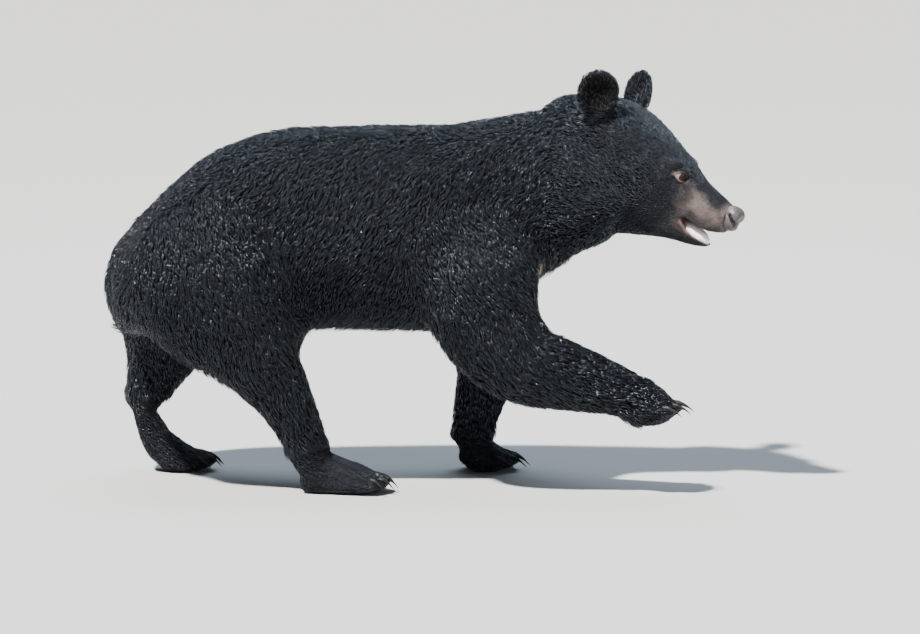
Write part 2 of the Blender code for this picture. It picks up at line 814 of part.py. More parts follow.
def finish(pieces):
    """Name each piece and give it a material of its own."""
    for name, piece in pieces.items():
        colour, roughness = FINISHES.get(name.split("_")[0], FINISHES["coat"])
        material = bpy.data.materials.new(name)
        material.use_nodes = True
        shader = material.node_tree.nodes["Principled BSDF"]
        shader.inputs["Base Color"].default_value = (*colour, 1)
        shader.inputs["Roughness"].default_value = roughness
        piece.name = name
        piece.data.name = name
        piece.data.materials.clear()
        piece.data.materials.append(material)
        piece.data.shade_smooth()
        piece.data.set_sharp_from_angle(angle=math.radians(40))


def centre(pieces):
    """Put the origin under the middle of the animal, at the level of its soles."""
    points = [vert.co for piece in pieces.values() for vert in piece.data.vertices]
    middle = [(min(p[i] for p in points) + max(p[i] for p in points)) / 2 for i in range(2)]
    shift = Matrix.Translation((-middle[0], -middle[1], 0))
    for piece in pieces.values():
        piece.data.transform(shift)


def main():
    clear_scene()
    hull = boolean(make_hull(), half_space((0, 0, 0), (0, 0, 1)), "INTERSECT")
    hull, pieces = part_legs(hull)
    pieces.update(part_trunk(hull))
    fit_bare_parts(pieces)
    finish(pieces)
    centre(pieces)


main()
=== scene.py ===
"""The looks of a young Asiatic black bear, a still life-size model.

One skin stands for all the flesh nodes and lies inside them by the coat's depth. Tufts
grow from it along the lie of the coat and reach out to the outline. Eyes, nose, tongue
and claws are pieces of their own. All is in metres: +X ahead, +Y left, +Z up.
"""
import math

import bmesh
import bpy
import numpy as np
from mathutils import Matrix, Vector
from mathutils.bvhtree import BVHTree
from mathutils.kdtree import KDTree


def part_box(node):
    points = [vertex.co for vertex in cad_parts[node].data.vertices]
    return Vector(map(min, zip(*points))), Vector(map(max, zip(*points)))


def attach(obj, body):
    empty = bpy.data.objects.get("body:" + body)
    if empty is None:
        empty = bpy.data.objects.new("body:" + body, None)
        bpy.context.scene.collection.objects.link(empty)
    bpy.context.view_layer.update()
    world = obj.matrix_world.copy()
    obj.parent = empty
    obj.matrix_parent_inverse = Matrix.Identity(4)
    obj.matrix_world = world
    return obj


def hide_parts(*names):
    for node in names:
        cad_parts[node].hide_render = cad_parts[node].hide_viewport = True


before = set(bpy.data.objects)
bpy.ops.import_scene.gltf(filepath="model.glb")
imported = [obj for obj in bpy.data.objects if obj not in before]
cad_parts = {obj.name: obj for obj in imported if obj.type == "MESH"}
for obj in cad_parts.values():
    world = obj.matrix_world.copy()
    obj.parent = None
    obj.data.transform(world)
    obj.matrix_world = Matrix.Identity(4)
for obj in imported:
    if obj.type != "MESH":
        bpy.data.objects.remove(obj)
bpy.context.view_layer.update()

SEED = 11
SIDES = ("left", "right")
MIRROR = {"left": 1, "right": -1}  # the sign of y on each side
BODY = "root"

# The head's own frame: x to the nose, y to the bear's left, z up through the crown. Places
# and directions named below are in this frame, and of a pair only the left one is given.
HEAD_PITCH = math.radians(30)
HEAD_TURN = math.radians(26)
HEAD_TILT = math.radians(-5.5)
SKULL = (0.09, 0, -0.01)
EAR_FACING = (0.60, 0.72, 0.10)
NOSE_MIDDLE = (0.2300, 0, 0.0065)

# The eyes, each with its place, the way its opening faces and the way to its inner corner
EYE_PLACE = (0.1300, 0.0285, 0.0228)
EYE_RADIUS = 0.0122
EYE_FACING = (0.56, 0.82, 0.10)
EYE_TO_NOSE = (0.99, 0, 0.10)
CORNEA_RISE = 0.0007
PUPIL_ANGLE = 19.5  # degrees, from the middle of the gaze to the pupil's edge
IRIS_ANGLE = 39.0

# The opening between the lids, in radii of the eyeball from its middle
OPENING_HALF = 0.80
UPPER_ARCH = 0.46
LOWER_ARCH = 0.42
BARE_LID = (-0.34, -0.16)  # from where hair ends to where the lid is fully bare

# The lids' height over the eyeball, their raised rim and the fold outside it
LID_GAP = 0.0007
LID_RIM = 0.0007
LID_FOLD = 0.0005
LIDS_END = 0.0215  # at this distance from the eye's middle they are part of the skin
BEHIND_EYE = 0.0040  # how deep the skin lies under the eyeball's surface in the opening

# The nose: a pit for each nostril, and a slit that runs back and up from it
NOSTRIL = (0.2405, 0.0105, 0.0030)
NOSTRIL_RADII = (0.0075, 0.0050, 0.0052)
SLIT_START = (0.2400, 0.0040)  # x and z
SLIT_RUN = (-0.0135, 0.0085)
SLIT_WIDTH = 0.0026
GROOVE_WIDTH = 0.0009
NOSTRIL_DEPTH = 0.0055

# The mouth
MOUTH_BACK = 0.150  # ahead of this, and between these heights, skin is the mouth's
MOUTH_HALF = 0.040
MOUTH_LOW = -0.062
MOUTH_HIGH = -0.012
ROOF_LOW = -0.036
LIP_HEIGHT = -0.0445
# painted light and shade: between these two places the tongue goes from its shade-darkened root to its
# sunlit tip
TONGUE_SHADE_TO_LIGHT = (0.168, 0.188)  # from the last of the root's colour to the tip's

# How fine the pieces are remeshed

SKIN_VOXEL = 0.0031
NOSE_VOXEL = 0.0009
TONGUE_VOXEL = 0.0011
CLAW_VOXEL = 0.0007

SOLE_HEIGHT = 0.006  # skin that faces down below this is a sole

# The camera aims at a place behind and below the head's middle
AIM_FROM_HEAD = (-0.2375, 0.031, -0.276)
CAMERA_DISTANCE = 8.0
CAMERA_RISE = math.radians(7.5)
CAMERA_LENS = 200.35
CAMERA_SENSOR = 36.0
CAMERA_REACH = 60

# The studio. The band at the horizon has the tone of the floor in the key light
FLOOR_SIZE = 60
FLOOR_TONE = (0.37, 0.37, 0.365, 1)
HORIZON_BAND = (0.062, 0.085)  # the sines of the heights where it ends and the sky starts
HORIZON_TONE = (1.0, 0.99, 0.965, 1)
SKY_TONE = (0.0580, 0.0680, 0.0810, 1)
WORLD_POWER = 1.735
LIGHTS_AIM = (0, 0, 0.35)

# The cream crescent: the height of its point over the chest's lowest place, the rise of
# its arms for their run outwards, and how far out they end
CRESCENT_HEIGHT = 0.054
CRESCENT_SLOPE = 0.62
CRESCENT_HALF = 0.100

# Colours of coat and skin
BLACK = (0.0032, 0.0035, 0.0050)
MUZZLE = (0.120, 0.091, 0.084)
EAR_INSIDE = (0.0042, 0.0034, 0.0032)
CREAM = (0.62, 0.54, 0.40)
COAT_SHINE = (0.74, 0.86, 1.0, 1)
MOUTH_FLOOR = (0.105, 0.060, 0.056)
MOUTH_ROOF = (0.016, 0.013, 0.013)
LIP_RIM = (0.062, 0.040, 0.036)
LID = (0.105, 0.066, 0.068)
LID_DARK = (0.0050, 0.0040, 0.0040)
SOLE = (0.035, 0.031, 0.030)

# Colours of the bare parts
EYE_WHITE = (0.190, 0.125, 0.125)
EYE_CORNER = (0.30, 0.19, 0.185)
IRIS = (0.016, 0.0080, 0.0045)
IRIS_RIM = (0.02, 0.01, 0.008)
PUPIL = (0.002, 0.002, 0.002)
NOSE = (0.056, 0.051, 0.050)
# painted shade: near black in the nostrils' pits and slits, and faintly in the middle groove
NOSTRIL_SHADE = (0.004, 0.003, 0.003)
# painted shade and light: the tongue's pink, darkened at its root inside the mouth and raised near white
# at its tip as sunlight
TONGUE_ROOT_SHADE = (0.11, 0.056, 0.052)
TONGUE_TIP_SUNLIT = (0.99, 0.88, 0.86)
CLAW_DARK = (0.004, 0.0035, 0.0035, 1)
CLAW_PALE = (0.014, 0.011, 0.009, 1)

# The pieces of coat: right and left of each band of the body, then of the head
COAT_BANDS = (-0.35, -0.20, -0.05, 0.10)
HEAD_GROUP = 10
EARS_GROUP = 12  # the ears' insides
WET_GROUP = 13  # damp strands, which glint
DAMP_SHARES = (0.08, 0.22)  # of the strands in a damp patch, and how many more ahead
PIECE_TUFTS = 32000  # tufts in one piece at most
PATCH_SIZE = 0.003  # a tuft's patch on the unwrap
LOCK_SIZE = 0.0042  # the smallest lock of hair
CELL_PRIMES = (73856093, 19349663, 83492791)  # they tell the locks' cells apart
SHELF_PRIME = 7919
STRIP_MARGIN = 0.01  # on the unwrap, round each limb's strip


# ------------------------------------------------------------------------ small tools
def unit(vectors):
    size = np.linalg.norm(vectors, axis=-1, keepdims=True)
    return vectors / np.maximum(size, 1e-9)


def step(low, high, value):
    """0 below low, 1 above high, and a smooth rise between."""
    share = np.clip((value - low) / (high - low), 0.0, 1.0)
    return share * share * (3 - 2 * share)


def mesh_points(mesh):
    points = np.empty(len(mesh.vertices) * 3, np.float32)
    mesh.vertices.foreach_get("co", points)
    return points.reshape(-1, 3).astype(float)


def mesh_normals(mesh):
    normals = np.empty(len(mesh.vertices) * 3, np.float32)
    mesh.vertex_normals.foreach_get("vector", normals)
    return normals.reshape(-1, 3).astype(float)


def set_points(mesh, points):
    mesh.vertices.foreach_set("co", points.astype(np.float32).ravel())
    mesh.update()


def triangles_of(mesh):
    mesh.calc_loop_triangles()
    faces = np.empty(len(mesh.loop_triangles) * 3, np.int32)
    mesh.loop_triangles.foreach_get("vertices", faces)
    return faces.reshape(-1, 3)


def edges_of(mesh):
    ends = np.empty(len(mesh.edges) * 2, np.int32)
    mesh.edges.foreach_get("vertices", ends)
    return ends.reshape(-1, 2)


def spread(values, edges, rounds, share=0.5):
    """Each vertex's values drawn towards its neighbours' mean, a number of times."""
    count = len(values)
    ends, starts = np.concatenate([edges[:, 0], edges[:, 1]]), np.concatenate([edges[:, 1], edges[:, 0]])
    degree = np.maximum(np.bincount(ends, minlength=count), 1)
    out = values.copy()
    for _ in range(rounds):
        for k in range(out.shape[1]):
            mean = np.bincount(ends, weights=out[starts, k], minlength=count) / degree
            out[:, k] += share * (mean - out[:, k])
    return out


def smooth_noise(points, size, seed):
    """Soft noise from -1 to 1, one swell in about each size of space."""
    rng = np.random.default_rng(seed)
    total = np.zeros(len(points))
    for _ in range(7):
        wave = rng.normal(size=3)
        wave *= 2 * math.pi / (size * np.linalg.norm(wave)) * rng.uniform(0.6, 1.3)
        total += np.sin(points @ wave + rng.uniform(0, 2 * math.pi))
    return np.clip(total / 3.2, -1, 1)


def new_object(name, mesh):
    piece = bpy.data.objects.new(name, mesh)
    bpy.context.scene.collection.objects.link(piece)
    return piece


def evaluated(piece):
    """Apply the piece's modifiers to its mesh."""
    graph = bpy.context.evaluated_depsgraph_get()
    mesh = bpy.data.meshes.new_from_object(piece.evaluated_get(graph))
    piece.modifiers.clear()
    piece.data = mesh
    return piece


def remeshed(name, nodes, voxel):
    """The nodes' meshes grown together into one closed quad mesh."""
    bm = bmesh.new()
    for node in nodes:
        bm.from_mesh(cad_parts[node].data)
    mesh = bpy.data.meshes.new(name)
    bm.to_mesh(mesh)
    bm.free()
    piece = new_object(name, mesh)
    fuse = piece.modifiers.new("Fuse", "REMESH")
    fuse.mode = "VOXEL"
    fuse.voxel_size = voxel
    return evaluated(piece)


def node_middle(node):
    return mesh_points(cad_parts[node].data).mean(axis=0)


# -------------------------------------------------------------------- the head's frame
HEAD_TURNED = np.array(
    Matrix.Rotation(-HEAD_TURN, 3, "Z")
    @ Matrix.Rotation(HEAD_PITCH, 3, "Y")
    @ Matrix.Rotation(HEAD_TILT, 3, "X")
)
BETWEEN_EYES = (node_middle("eye_left") + node_middle("eye_right")) / 2
HEAD_MIDDLE = BETWEEN_EYES - HEAD_TURNED @ np.array((EYE_PLACE[0], 0, EYE_PLACE[2]))


def to_head(points):
    """Places of the model, in the head's frame."""
    return (points - HEAD_MIDDLE) @ HEAD_TURNED


def from_head(points):
    """Places in the head's frame, brought back to the model's."""
    return np.asarray(points, float) @ HEAD_TURNED.T + HEAD_MIDDLE


# ---------------------------------------------------------------------------- regions
FLESH = [
    name
    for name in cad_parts
    if not name.startswith(("claw_", "eye_")) and name not in ("nose", "tongue")
]

# Coat of each kind of node: depth, tuft length, tuft width, tufts on a square centimetre
COATS = {
    "head": (0.0046, 0.0105, 0.0012, 32),
    "lower_jaw": (0.0044, 0.0105, 0.0012, 30),
    "ear": (0.0018, 0.0085, 0.0010, 36),
    "neck": (0.0110, 0.0210, 0.0016, 16.5),
    "chest": (0.0105, 0.0200, 0.0016, 16.5),
    "loins": (0.0105, 0.0200, 0.0016, 16.5),
    "tail": (0.0090, 0.0240, 0.0017, 14),
    "upper_foreleg": (0.0085, 0.0200, 0.0016, 16.5),
    "forearm": (0.0064, 0.0245, 0.0019, 14),
    "forepaw": (0.0034, 0.0095, 0.0011, 32),
    "thigh": (0.0090, 0.0200, 0.0016, 16.5),
    "shank": (0.0064, 0.0230, 0.0017, 16),
    "hindfoot": (0.0034, 0.0095, 0.0011, 32),
}
# Coats that replace the head's own on parts of it, in the same four columns
CHEEK = (0.0060, 0.0140, 0.0016, 20.0)
FACE = (0.0022, 0.0062, 0.0009, 40.0)
SNOUT = (0.0011, 0.0036, 0.0006, 62.0)
NAPE = (0.0080, 0.0190, 0.0017, 15.0)
UNDER_NOSE = 0.0078  # how deep the skin lies under the nose's pad

LEG_CHAINS = (("upper_foreleg", "forearm", "forepaw", "fore"), ("thigh", "shank", "hindfoot", "hind"))


def kind_of(node):
    for side in SIDES:
        node = node.removesuffix("_" + side)
    return node


def lie_of(node):
    """The way the hair points on a node, before it is laid along the skin."""
    side = "left" if node.endswith("left") else "right"
    kind = kind_of(node)
    for upper, middle, paw, claws in LEG_CHAINS:
        spots = {
            upper: node_middle(f"{upper}_{side}"),
            middle: node_middle(f"{middle}_{side}"),
            paw: node_middle(f"{paw}_{side}"),
            "claws": np.mean([node_middle(f"claw_{claws}_{side}_{i + 1}") for i in range(5)], axis=0),
        }
        order = [upper, middle, paw, "claws"]
        if kind in order:
            here = order.index(kind)
            way = unit(spots[order[here + 1]] - spots[kind])
            return unit(way + np.array((-0.25, 0, 0))) if here < 2 else way
    if kind == "head":
        return HEAD_TURNED @ np.array((-1.0, 0, -0.18))
    if kind == "lower_jaw":
        return HEAD_TURNED @ np.array((-1.0, 0, -0.30))
    if kind == "ear":
        return unit(node_middle(node) - from_head((-0.02, 0.05 * MIRROR[side], 0.01)))
    return {
        "neck": np.array((-0.62, 0, -0.78)),
        "chest": np.array((-0.52, 0, -0.85)),
        "loins": np.array((-0.52, 0, -0.85)),
        "tail": np.array((-0.15, 0, -0.98)),
    }[kind]


def limb_of(node):
    """0 for the trunk, 1 for the head, 2 to 5 for the legs."""
    kind = kind_of(node)
    if kind in ("head", "lower_jaw", "ear"):
        return 1
    for row, chain in enumerate(LEG_CHAINS):
        if kind in chain:
            return 2 + 2 * row + node.endswith("left")
    return 0


class Skin:
    """The skin's mesh with what the coat needs to know at each vertex."""

    def __init__(self):
        self.piece = remeshed("skin", FLESH + ["eye_left", "eye_right", "nose"], SKIN_VOXEL)
        mesh = self.piece.data
        points, edges = mesh_points(mesh), edges_of(mesh)
        regions = self.find_regions(points)
        weights = spread(regions, edges, 14)
        self.head_share = sum(
            weights[:, FLESH.index(name)] for name in ("head", "lower_jaw", "ear_left", "ear_right")
        )
        points = self.rounded(points, edges, weights)
        set_points(mesh, points)
        self.traits = weights @ np.array([COATS[kind_of(name)] for name in FLESH])
        self.lies = weights @ np.array([lie_of(name) for name in FLESH])
        self.limbs = np.array([limb_of(name) for name in FLESH])[np.argmax(weights, axis=1)]
        self.near_face(points)
        normals = spread(mesh_normals(mesh), edges, 3)
        set_points(mesh, points - unit(normals) * self.traits[:, :1])

    def find_regions(self, points):
        """One column for each flesh node, 1 where that node is nearest."""
        corners, faces, owner, first = [], [], [], 0
        for index, name in enumerate(FLESH):
            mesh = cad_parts[name].data
            corners.append(mesh_points(mesh))
            tris = triangles_of(mesh)
            faces.append(tris + first)
            owner += [index] * len(tris)
            first += len(corners[-1])
        tree = BVHTree.FromPolygons(np.concatenate(corners).tolist(), np.concatenate(faces).tolist())
        found = np.zeros((len(points), len(FLESH)))
        for row, point in enumerate(points.tolist()):
            found[row, owner[tree.find_nearest(point)[2]]] = 1
        return found

    def rounded(self, points, edges, weights):
        """The facets smoothed away, more on the trunk than on head and paws."""
        small = self.head_share.copy()
        for kind in ("forepaw", "hindfoot"):
            for side in SIDES:
                small += weights[:, FLESH.index(f"{kind}_{side}")]
        small = np.clip(small, 0, 1)[:, None]
        gentle = points
        for _ in range(3):
            gentle = spread(gentle, edges, 1, 0.50)
            gentle = spread(gentle, edges, 1, -0.52)
        strong = gentle
        for _ in range(34):
            strong = spread(strong, edges, 1, 0.62)
            strong = spread(strong, edges, 1, -0.60)
        ears = sum(weights[:, FLESH.index("ear_" + side)] for side in SIDES)[:, None]
        crisp = spread(spread(points, edges, 1, 0.40), edges, 1, -0.42)
        gentle += step(0.30, 0.70, ears) * (crisp - gentle)
        return gentle * small + strong * (1 - small)

    def near_face(self, points):
        """The coat grows shorter from the cheeks to the eyes, the muzzle and the nose."""
        local = to_head(points)
        on_head = self.head_share > 0.5
        face = step(0.060, 0.150, local[:, 0]) * on_head
        snout = step(0.130, 0.185, local[:, 0]) * on_head
        nape = step(0.02, -0.07, local[:, 0]) * on_head
        cheek = step(0.120, 0.070, local[:, 0]) * step(0.020, -0.020, local[:, 2])
        cheek *= on_head * (1 - nape)
        for share, goal in ((cheek, CHEEK), (face, FACE), (snout, SNOUT), (nape, NAPE)):
            self.traits += share[:, None] * (np.array(goal) - self.traits)
        under_pad = step(0.0240, 0.0190, np.linalg.norm(local - NOSE_MIDDLE, axis=1))
        self.traits[:, 0] += under_pad * (UNDER_NOSE - self.traits[:, 0])


# ------------------------------------------------------------------------- the markings
def before_ear(side, distance):
    """A place at this distance before the middle of an ear, on the side its cup faces."""
    facing = HEAD_TURNED @ (np.array(EAR_FACING) * (1, MIRROR[side], 1))
    return node_middle("ear_" + side) + facing * distance


def crescent(points, edge):
    """The share of cream at each point: a ragged V across the front of the chest."""
    low, high = (np.array(corner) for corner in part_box("chest"))
    half = np.abs(points[:, 1] - (low[1] + high[1]) / 2)
    rise = points[:, 2] - (low[2] + CRESCENT_HEIGHT) - CRESCENT_SLOPE * half
    front = step(high[0] - 0.060, high[0] - 0.035, points[:, 0])
    band = step(0.021, 0.013, np.abs(rise + edge)) * step(CRESCENT_HALF, CRESCENT_HALF - 0.016, half)
    return front * band


def markings(points):
    """The coat's colour at each point, the same for the skin and for its tufts."""
    local = to_head(points)
    x, _, z = local.T
    colour = np.tile(np.array(BLACK), (len(points), 1))

    def paint(share, tone):
        colour[:] += np.clip(share, 0, 1)[:, None] * (np.array(tone) - colour)

    on_head = step(0.20, 0.15, np.linalg.norm(local - SKULL, axis=1))
    edge = 0.006 * smooth_noise(points, 0.02, 5)
    bridge = 0.022 - 0.30 * (x - 0.16)
    flank = step(bridge + 0.005, bridge - 0.009, z + 0.5 * edge)
    tip = step(0.205, 0.222, x)
    above_lip = 0.24 + 0.76 * step(-0.027, -0.003, z + edge)
    paint(on_head * step(0.140, 0.180, x + edge) * np.maximum(flank, tip) * above_lip, MUZZLE)
    paint(on_head * step(0.12, 0.17, x) * step(-0.036, -0.052, z) * 0.80, BLACK)
    for side in SIDES:
        paint(step(0.036, 0.022, np.linalg.norm(points - before_ear(side, 0.018), axis=1)), EAR_INSIDE)
    paint(crescent(points, edge), CREAM)
    return colour


# ------------------------------------------------------------------------- face details
def eye_frame(side):
    """Middle of an eyeball, the way its opening faces, the way to its inner corner, and up."""
    sign = MIRROR[side]
    facing = unit(HEAD_TURNED @ (np.array(EYE_FACING) * (1, sign, 1)))
    ahead = HEAD_TURNED @ np.array(EYE_TO_NOSE)
    ahead = unit(ahead - facing * (ahead @ facing))
    upward = np.cross(facing, ahead) * sign * -1
    return node_middle("eye_" + side), facing, ahead, upward


def refine(mesh, centre, radii):
    """Split the faces round a place once for each radius, so lids can be shaped."""
    bm = bmesh.new()
    bm.from_mesh(mesh)
    spot = Vector(centre)
    for radius in radii:
        edges = [
            edge
            for edge in bm.edges
            if (edge.verts[0].co - spot).length < radius and (edge.verts[1].co - spot).length < radius
        ]
        bmesh.ops.subdivide_edges(bm, edges=edges, cuts=1, use_grid_fill=True, smooth=0.0)
    bm.to_mesh(mesh)
    bm.free()


def eye_opening(points, side):
    """How far inside the opening between the lids each point is, its distance from the
    eyeball's middle, and its place across and up the opening, all but the distance in radii."""
    middle, facing, ahead, upward = eye_frame(side)
    offset = points - middle
    away = np.linalg.norm(offset, axis=1)
    seen = offset / np.maximum(away, 1e-6)[:, None]
    across, up, front = seen @ ahead, seen @ upward, seen @ facing
    arch = np.clip(1 - (across / OPENING_HALF) ** 2, 0, 1)
    inside = np.minimum(UPPER_ARCH * arch**0.75 - up, up + LOWER_ARCH * arch**0.90)
    inside = np.minimum(inside, OPENING_HALF - np.abs(across))
    inside = np.where(front > 0, inside, -1.0)
    return inside, away, across, up


def shape_lids(points, side):
    """Skin drawn over the eyeball as two lids, with an almond opening between."""
    middle = eye_frame(side)[0]
    inside, away, _, _ = eye_opening(points, side)
    close = (away < LIDS_END + 0.001) & (inside > -0.99)
    rim = np.exp(-((inside + 0.07) / 0.08) ** 2)
    fold = np.exp(-((inside + 0.34) / 0.06) ** 2)
    lid = EYE_RADIUS + LID_GAP + LID_RIM * rim - LID_FOLD * fold
    goal = lid + step(-0.01, 0.07, inside) * (EYE_RADIUS - BEHIND_EYE - lid)
    hold = step(LIDS_END, LIDS_END - 0.0065, away)
    radius = (away + hold * (goal - away))[close]
    points[close] = middle + unit(points[close] - middle) * radius[:, None]
    return points


# --------------------------------------------------------------------------- materials
def new_material(name, roughness, **sockets):
    material = bpy.data.materials.new(name)
    material.use_nodes = True
    shader = material.node_tree.nodes["Principled BSDF"]
    shader.inputs["Roughness"].default_value = roughness
    for socket, value in sockets.items():
        shader.inputs[socket.replace("_", " ")].default_value = value
    return material, shader


def link(material, source, target):
    material.node_tree.links.new(source, target)


def node(material, kind, **settings):
    made = material.node_tree.nodes.new("ShaderNode" + kind)
    for key, value in settings.items():
        if key in made.inputs:
            made.inputs[key].default_value = value
        else:
            setattr(made, key, value)
    return made


def bumped(material, shader, scale, strength, distance):
    """Fine grain over a surface, fixed to the object."""
    place = node(material, "TexCoord")
    grain = node(material, "TexNoise", Scale=scale, Detail=6.0, Roughness=0.6)
    bump = node(material, "Bump", Strength=strength, Distance=distance)
    link(material, place.outputs["Object"], grain.inputs["Vector"])
    link(material, grain.outputs["Fac"], bump.inputs["Height"])
    link(material, bump.outputs["Normal"], shader.inputs["Normal"])
    return grain


def tinted(material, shader):
    """The surface takes its colour from the mesh's own markings."""
    tint = node(material, "Attribute", attribute_name="tint")
    link(material, tint.outputs["Color"], shader.inputs["Base Color"])


def skin_material():
    material, shader = new_material("skin", 0.62, Specular_IOR_Level=0.25)
    tinted(material, shader)
    bumped(material, shader, 900.0, 0.5, 0.0008)
    return material


def coat_material(name, roughness, gloss):
    """Hair that takes a bluish shine from the light."""
    material, shader = new_material(name, roughness, Specular_IOR_Level=gloss, Specular_Tint=COAT_SHINE)
    tinted(material, shader)
    return material


def nose_material():
    material, shader = new_material("nose", 0.42)
    tinted(material, shader)
    place = node(material, "TexCoord")
    cells = node(material, "TexVoronoi", Scale=620.0, feature="DISTANCE_TO_EDGE")
    bump = node(material, "Bump", Strength=0.7, Distance=0.0004)
    link(material, place.outputs["Object"], cells.inputs["Vector"])
    link(material, cells.outputs["Distance"], bump.inputs["Height"])
    link(material, bump.outputs["Normal"], shader.inputs["Normal"])
    return material


def tongue_material():
    material, shader = new_material("tongue", 0.28, Coat_Weight=0.25)
    tinted(material, shader)
    bumped(material, shader, 700.0, 0.35, 0.0005)
    return material


def claw_material():
    material, shader = new_material("claw", 0.48, Specular_IOR_Level=0.25)
    grain = bumped(material, shader, 340.0, 0.3, 0.0004)
    ramp = node(material, "ValToRGB")
    ramp.color_ramp.elements[0].color = CLAW_DARK
    ramp.color_ramp.elements[1].color = CLAW_PALE
    link(material, grain.outputs["Fac"], ramp.inputs["Fac"])
    link(material, ramp.outputs["Color"], shader.inputs["Base Color"])
    return material


def eye_material():
    material, shader = new_material("eye", 0.08, Specular_IOR_Level=0.16)
    tinted(material, shader)
    return material


def paint_mesh(mesh, colours):
    layer = mesh.color_attributes.new("tint", "FLOAT_COLOR", "POINT")
    rgba = np.concatenate([colours, np.ones((len(colours), 1))], axis=1)
    layer.data.foreach_set("color", rgba.astype(np.float32).ravel())


# --------------------------------------------------------------------------- bare parts
def finished(piece, material, slot, *replaced, smooth=True):
    """The piece with its material, the nodes it stands for hidden, and its body; the slot is not used.
    """
    piece.data.materials.clear()
    piece.data.materials.append(material)
    if smooth:
        piece.data.shade_smooth()
    if replaced:
        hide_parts(*replaced)
    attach(piece, BODY)
    return piece


def make_eye(side, material):
    """An eyeball with a cornea, a dark pupil, a brown iris and a pinkish inner corner."""
    middle, facing, ahead, upward = eye_frame(side)
    gaze = unit(facing + 0.30 * ahead - 0.03 * upward)
    ahead = unit(ahead - gaze * (ahead @ gaze))
    bm = bmesh.new()
    bmesh.ops.create_uvsphere(bm, u_segments=64, v_segments=48, radius=1.0)
    mesh = bpy.data.meshes.new("eyeball_" + side)
    bm.to_mesh(mesh)
    bm.free()
    balls = mesh_points(mesh)
    axes = np.array([ahead, upward, gaze])
    slant = np.degrees(np.arccos(np.clip(balls[:, 2], -1, 1)))
    cornea = CORNEA_RISE * np.exp(-((slant / 32) ** 2))
    set_points(mesh, middle + (balls * (EYE_RADIUS + cornea)[:, None]) @ axes)
    spokes = 0.85 + 0.15 * np.cos(np.arctan2(balls[:, 1], balls[:, 0]) * 23)
    corner = step(0.55, 0.80, balls[:, 0])
    iris = step(IRIS_ANGLE + 2, IRIS_ANGLE - 2, slant)
    rim = 0.8 * step(IRIS_ANGLE - 6, IRIS_ANGLE - 2, slant) * step(IRIS_ANGLE + 4, IRIS_ANGLE, slant)
    pupil = step(PUPIL_ANGLE + 1.5, PUPIL_ANGLE - 1.5, slant)
    colours = np.tile(np.array(EYE_WHITE), (len(balls), 1))
    colours += corner[:, None] * (np.array(EYE_CORNER) - colours)
    colours += iris[:, None] * (np.array(IRIS) * spokes[:, None] - colours)
    colours += rim[:, None] * (np.array(IRIS_RIM) - colours)
    colours += pupil[:, None] * (np.array(PUPIL) - colours)
    paint_mesh(mesh, np.clip(colours, 0, 1))
    finished(new_object("eyeball_" + side, mesh), material, "eye", "eye_" + side)


def from_slit(local):
    """How far each point is from a nostril's slit, seen from the side."""
    start, run = np.array(SLIT_START), np.array(SLIT_RUN)
    offset = local[:, (0, 2)] - start
    share = np.clip(offset @ run / (run @ run), 0, 1)
    return np.linalg.norm(offset - share[:, None] * run, axis=1)


def make_nose():
    """A pebbled pad with two nostrils, their slits and a groove down the middle, with painted shade
    darkening these hollows.
    """
    piece = remeshed("nose_pad", ["nose"], NOSE_VOXEL)
    mesh = piece.data
    edges = edges_of(mesh)
    points = spread(mesh_points(mesh), edges, 10, 0.5)
    set_points(mesh, points)
    normals = mesh_normals(mesh)
    local = to_head(points)
    hollow = np.zeros(len(points))
    for sign in MIRROR.values():
        offset = local - np.array(NOSTRIL) * (1, sign, 1)
        pit = np.linalg.norm(offset / NOSTRIL_RADII, axis=1)
        hollow = np.maximum(hollow, np.exp(-(pit**2) * 1.1))
    outer = step(0.0070, 0.0110, np.abs(local[:, 1]))
    hollow = np.maximum(hollow, 0.80 * outer * np.exp(-((from_slit(local) / SLIT_WIDTH) ** 2)))
    groove = np.exp(-((local[:, 1] / GROOVE_WIDTH) ** 2)) * step(0.232, 0.240, local[:, 0])
    depth = np.maximum(hollow, 0.22 * groove)
    set_points(mesh, points - normals * (depth * NOSTRIL_DEPTH)[:, None])
    tone = np.array(NOSE) * (1 + 0.25 * smooth_noise(points, 0.012, 3))[:, None]
    # painted shade: the deeper a hollow, the nearer its colour to the near-black shade
    tone += step(0.12, 0.42, depth)[:, None] * (np.array(NOSTRIL_SHADE) - tone)
    paint_mesh(mesh, np.clip(tone, 0, 1))
    finished(piece, nose_material(), "nose", "nose")


def make_tongue():
    """A tongue with a shallow furrow, pale but for its root: painted sunlight raises its pink near
    white, and painted shade darkens the root inside the mouth.
    """
    piece = remeshed("tongue_body", ["tongue"], TONGUE_VOXEL)
    mesh = piece.data
    points = spread(mesh_points(mesh), edges_of(mesh), 12, 0.5)
    local = to_head(points)
    furrow = np.exp(-((local[:, 1] / 0.0030) ** 2)) * step(-0.052, -0.042, local[:, 2])
    points -= (HEAD_TURNED @ np.array((0, 0, 0.0012))) * furrow[:, None]
    set_points(mesh, points)
    # painted light and shade: dark with shade at the root, near white with sunlight at the tip
    pale = step(*TONGUE_SHADE_TO_LIGHT, local[:, 0])[:, None]
    tone = np.array(TONGUE_ROOT_SHADE) + pale * (np.array(TONGUE_TIP_SUNLIT) - np.array(TONGUE_ROOT_SHADE))
    tone *= (1 + 0.08 * smooth_noise(points, 0.004, 8))[:, None]
    paint_mesh(mesh, np.clip(tone, 0, 1))
    finished(piece, tongue_material(), "tongue", "tongue")


def make_claws():
    material = claw_material()
    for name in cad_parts:
        if name.startswith("claw_"):
            piece = remeshed(name.replace("claw_", "horn_"), [name], CLAW_VOXEL)
            mesh = piece.data
            points, edges = mesh_points(mesh), edges_of(mesh)
            for _ in range(5):
                points = spread(spread(points, edges, 1, 0.50), edges, 1, -0.51)
            set_points(mesh, points)
            finished(piece, material, "claw", name)


